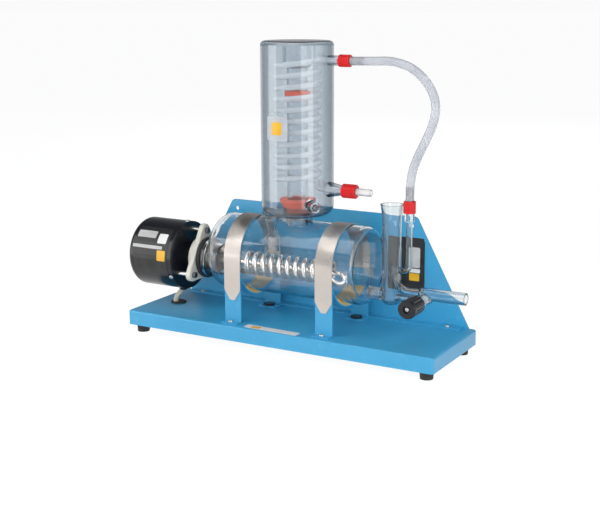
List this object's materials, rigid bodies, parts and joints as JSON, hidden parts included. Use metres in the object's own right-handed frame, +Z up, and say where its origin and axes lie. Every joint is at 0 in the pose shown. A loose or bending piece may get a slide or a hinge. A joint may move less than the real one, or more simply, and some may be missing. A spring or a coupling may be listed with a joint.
{
  "type": "water distiller",
  "caption": "Bench water distiller: a glass boiler with a metal heater under a vertical glass condenser, on a blue sheet metal stand with a level device and drain tap",
  "frame": {"origin": "on the bench, under the middle of the base tray", "axes": "+Z up, the front faces -Y, +X runs from the heater end to the level device"},
  "size_m": [0.5325, 0.155, 0.438],
  "materials": {
    "blue_paint": "satin",
    "stainless_steel": "satin",
    "polished_heater": "polished",
    "plated_screws": "polished",
    "dark_bolts": "satin",
    "clear_glass": "clear",
    "black_rubber": "matte",
    "black_plastic": "matte",
    "cream_casting": "satin",
    "cork": "matte",
    "ceramic": "glazed",
    "brass": "polished",
    "grey_plastic": "matte",
    "cream_cable": "matte",
    "red_silicone": "matte",
    "red_plastic": "gloss",
    "clear_plastic": "gloss",
    "clear_silicone": "satin",
    "white_plastic": "satin"
  },
  "bodies": {
    "stand": {"back_panel": "blue_paint", "base_tray": "blue_paint", "boiler_glass": "clear_glass", "cable_grommet": "black_rubber", "clamp_flange": "cream_casting", "condenser_coil": "clear_glass", "condenser_jacket": "clear_glass", "cooling_hose": "clear_silicone", "cover_gland": "black_rubber", "cover_screws": "plated_screws", "drip_tube": "clear_glass", "foot_nuts": "plated_screws", "foot_screws": "plated_screws", "head_bolts": "dark_bolts", "heater_cable": "cream_cable", "heater_coil": "polished_heater", "heater_cover": "black_plastic", "joint_seal": "clear_silicone", "level_connector": "clear_plastic", "level_glass": "clear_glass", "level_seal": "clear_silicone", "level_sleeve": "clear_silicone", "lower_connector": "clear_plastic", "lower_seal": "clear_silicone", "mains_gland": "black_plastic", "neck_bung": "black_rubber", "panel_screws": "plated_screws", "riser_band": "red_silicone", "riser_bung": "red_silicone", "rod_glands": "stainless_steel", "rubber_feet": "black_rubber", "saddle_caps": "black_plastic", "saddle_left": "blue_paint", "saddle_pads": "cork", "saddle_right": "blue_paint", "saddle_screws": "plated_screws", "spacers": "plated_screws", "steam_riser": "clear_glass", "strap_left": "stainless_steel", "strap_nuts": "stainless_steel", "strap_right": "stainless_steel", "terminal_block": "ceramic", "terminal_disc": "black_plastic", "terminal_strip": "grey_plastic", "terminal_studs": "brass", "thermal_cutout": "grey_plastic", "tray_nuts": "plated_screws", "upper_connector": "clear_plastic", "upper_seal": "clear_silicone"},
    "tap_key": {"tap_key": "white_plastic", "tap_ring": "black_rubber"},
    "tap_knob": {"tap_knob": "black_plastic", "knob_screw": "plated_screws"},
    "upper_cap": {"upper_cap": "red_plastic"},
    "lower_cap": {"lower_cap": "red_plastic"},
    "level_cap": {"level_cap": "red_plastic"}
  },
  "joints": [
    {"name": "tap_key_slide", "type": "slide", "parent": "stand", "child": "tap_key", "axis": [0, -1, 0], "range_m": [0, 0.006]},
    {"name": "tap_knob_turn", "type": "hinge", "parent": "tap_key", "child": "tap_knob", "pos_m": [0.2065, -0.0525, 0.092], "axis": [0, -1, 0], "range_deg": [0, 720]},
    {"name": "upper_cap_turn", "type": "hinge", "parent": "stand", "child": "upper_cap", "pos_m": [0.08, 0, 0.4116], "axis": [1, 0, 0], "range_deg": [0, 360]},
    {"name": "lower_cap_turn", "type": "hinge", "parent": "stand", "child": "lower_cap", "pos_m": [0.089, 0, 0.231], "axis": [1, 0, 0], "range_deg": [0, 360]},
    {"name": "level_cap_turn", "type": "hinge", "parent": "stand", "child": "level_cap", "pos_m": [0.178, 0, 0.218], "axis": [0, 0, 1], "range_deg": [0, 360]}
  ],
  "couplings": [
    {"joint": "tap_knob_turn", "follows": "tap_key_slide", "rad_per_m": 2094.4}
  ]
}
